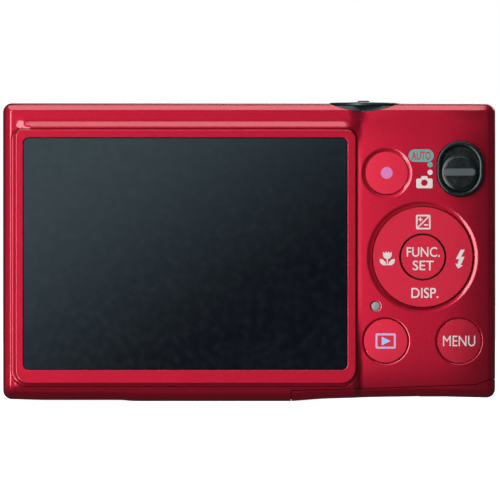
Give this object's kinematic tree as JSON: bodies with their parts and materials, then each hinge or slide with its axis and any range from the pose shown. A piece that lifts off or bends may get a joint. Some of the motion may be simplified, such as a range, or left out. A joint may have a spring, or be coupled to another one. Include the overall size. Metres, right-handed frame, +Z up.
{
  "type": "compact digital camera",
  "caption": "Compact digital camera with a large rear screen, round keys, four-way pad, mode switch, retracting lens and a sliding battery door.",
  "frame": {"origin": "middle of the underside, on the plane that the camera stands on", "axes": "+Z up, +X to the right when the screen is seen, +Y out of the lens; the screen faces -Y"},
  "size_m": [0.0932, 0.02, 0.057],
  "materials": {
    "body_red": "satin metallic paint",
    "bezel_red": "satin metallic paint",
    "door_red": "satin metallic paint",
    "key_red": "satin metallic coating",
    "flap_red": "soft-touch plastic",
    "screen_glass": "polished, dark when off",
    "lcd": "smooth",
    "steel_sheet": "stamped sheet",
    "steel_parts": "turned",
    "circuit_board": "solder mask",
    "black_plastic": "fine moulded texture",
    "brass_parts": "machined",
    "barrel_metal": "dark anodised, turned",
    "ring_aluminium": "spun satin",
    "clear_parts": "clear moulded",
    "lever_dark": "dark satin metallic",
    "switch_black": "semi-gloss",
    "rubber_black": "matt",
    "lamp_grey": "frosted clear",
    "battery_grey": "satin",
    "latch_orange": "satin",
    "card_blue": "satin"
  },
  "bodies": {
    "body": {"rear_cover": "body_red", "front_cover": "body_red", "screen_bezel": "bezel_red", "screen_window": "screen_glass", "lcd_panel": "lcd", "lcd_backplate": "steel_sheet", "chassis_frame": "steel_sheet", "main_board": "circuit_board", "key_board": "circuit_board", "top_board": "circuit_board", "sensor_board": "circuit_board", "image_sensor": "lcd", "lens_housing": "black_plastic", "zoom_motor": "steel_parts", "lens_ring": "ring_aluminium", "flash_window": "clear_parts", "flash_reflector": "ring_aluminium", "flash_tube": "clear_parts", "flash_capacitor": "black_plastic", "af_lamp_window": "clear_parts", "speaker": "black_plastic", "microphone": "steel_parts", "top_key_base": "lever_dark", "mode_switch_bezel": "switch_black", "indicator_lens": "lamp_grey", "battery_holder": "black_plastic", "battery": "battery_grey", "battery_contacts": "brass_parts", "card_slot": "steel_sheet", "memory_card": "card_blue", "tripod_socket": "steel_parts", "usb_connector": "steel_sheet", "hdmi_connector": "steel_sheet", "strap_bar": "steel_parts", "case_screw_1": "steel_parts", "case_screw_2": "steel_parts", "case_screw_3": "steel_parts", "case_screw_4": "steel_parts"},
    "shutter": {"shutter_button": "lever_dark"},
    "zoom_lever": {"zoom_ring": "lever_dark"},
    "power": {"power_button": "ring_aluminium"},
    "movie": {"movie_button": "key_red"},
    "playback": {"playback_button": "key_red"},
    "menu": {"menu_button": "key_red"},
    "set": {"set_button": "key_red"},
    "pad_carrier": {"dpad_carrier": "rubber_black"},
    "pad": {"dpad_ring": "key_red"},
    "mode_knob": {"mode_switch_knob": "switch_black"},
    "lens_outer": {"outer_barrel": "barrel_metal"},
    "lens_inner": {"inner_barrel": "barrel_metal", "front_lens": "clear_parts", "barrier_ring": "barrel_metal"},
    "blade_upper": {"barrier_blade_upper": "black_plastic"},
    "blade_lower": {"barrier_blade_lower": "black_plastic"},
    "cam": {"cam_ring": "black_plastic"},
    "gear": {"drive_gear": "brass_parts"},
    "door_slider": {"door_hinge_pin": "steel_parts"},
    "door": {"battery_door": "door_red"},
    "latch": {"battery_latch": "latch_orange"},
    "flap": {"terminal_cover": "flap_red"}
  },
  "joints": [
    {"name": "shutter_press", "type": "slide", "parent": "body", "child": "shutter", "axis": [0, 0, -1], "range_m": [0, 0.0008], "stiffness_N_per_m": 400},
    {"name": "zoom_turn", "type": "hinge", "parent": "body", "child": "zoom_lever", "pos_m": [0.0217, -0.00235, 0.056], "axis": [0, 0, 1], "range_deg": [-20, 20], "stiffness_Nm_per_rad": 0.01},
    {"name": "power_press", "type": "slide", "parent": "body", "child": "power", "axis": [0, 0, -1], "range_m": [0, 0.0004], "stiffness_N_per_m": 400},
    {"name": "movie_press", "type": "slide", "parent": "body", "child": "movie", "axis": [0, 1, 0], "range_m": [0, 0.0005], "stiffness_N_per_m": 400},
    {"name": "playback_press", "type": "slide", "parent": "body", "child": "playback", "axis": [0, 1, 0], "range_m": [0, 0.0005], "stiffness_N_per_m": 400},
    {"name": "menu_press", "type": "slide", "parent": "body", "child": "menu", "axis": [0, 1, 0], "range_m": [0, 0.0005], "stiffness_N_per_m": 400},
    {"name": "set_press", "type": "slide", "parent": "body", "child": "set", "axis": [0, 1, 0], "range_m": [0, 0.0005], "stiffness_N_per_m": 400},
    {"name": "pad_tilt_up_down", "type": "hinge", "parent": "body", "child": "pad_carrier", "pos_m": [0.0328, -0.0072, 0.0273], "axis": [1, 0, 0], "range_deg": [-1.5, 1.5], "stiffness_Nm_per_rad": 0.05},
    {"name": "pad_tilt_left_right", "type": "hinge", "parent": "pad_carrier", "child": "pad", "pos_m": [0.0328, -0.0072, 0.0273], "axis": [0, 0, 1], "range_deg": [-1.5, 1.5], "stiffness_Nm_per_rad": 0.05},
    {"name": "mode_slide", "type": "slide", "parent": "body", "child": "mode_knob", "axis": [0, 0, 1], "range_m": [0, 0.00142]},
    {"name": "lens_extend", "type": "slide", "parent": "body", "child": "lens_outer", "axis": [0, 1, 0], "range_m": [0, 0.009]},
    {"name": "lens_inner_extend", "type": "slide", "parent": "lens_outer", "child": "lens_inner", "axis": [0, 1, 0], "range_m": [0, 0.0091]},
    {"name": "cam_turn", "type": "hinge", "parent": "body", "child": "cam", "pos_m": [-0.012, 0, 0.028], "axis": [0, 1, 0], "range_deg": [0, 100]},
    {"name": "gear_turn", "type": "hinge", "parent": "body", "child": "gear", "pos_m": [-0.0265, 0, 0.0425], "axis": [0, 1, 0], "range_deg": [-720, 0]},
    {"name": "blade_upper_open", "type": "hinge", "parent": "lens_inner", "child": "blade_upper", "pos_m": [-0.0014, 0.008, 0.028], "axis": [0, 1, 0], "range_deg": [0, 40.5]},
    {"name": "blade_lower_open", "type": "hinge", "parent": "lens_inner", "child": "blade_lower", "pos_m": [-0.0226, 0.008, 0.028], "axis": [0, 1, 0], "range_deg": [0, 40.5]},
    {"name": "door_slide", "type": "slide", "parent": "body", "child": "door_slider", "axis": [1, 0, 0], "range_m": [0, 0.0025]},
    {"name": "door_swing", "type": "hinge", "parent": "door_slider", "child": "door", "pos_m": [0.03, 0.006, 0.00175], "axis": [1, 0, 0], "range_deg": [0, 90]},
    {"name": "latch_tip", "type": "hinge", "parent": "body", "child": "latch", "pos_m": [0.027, 0.00555, 0.0106], "axis": [1, 0, 0], "range_deg": [0, 8], "stiffness_Nm_per_rad": 0.002},
    {"name": "flap_open", "type": "hinge", "parent": "body", "child": "flap", "pos_m": [-0.04615, 0.003, 0.0255], "axis": [0, 0, -1], "range_deg": [0, 100]}
  ],
  "couplings": [
    {"joint": "lens_inner_extend", "follows": "lens_extend", "ratio": 1},
    {"joint": "cam_turn", "follows": "lens_extend", "rad_per_m": 191.99},
    {"joint": "gear_turn", "follows": "lens_extend", "rad_per_m": -1375.9},
    {"joint": "blade_upper_open", "follows": "lens_extend", "rad_per_m": 77.57},
    {"joint": "blade_lower_open", "follows": "lens_extend", "rad_per_m": 77.57}
  ]
}
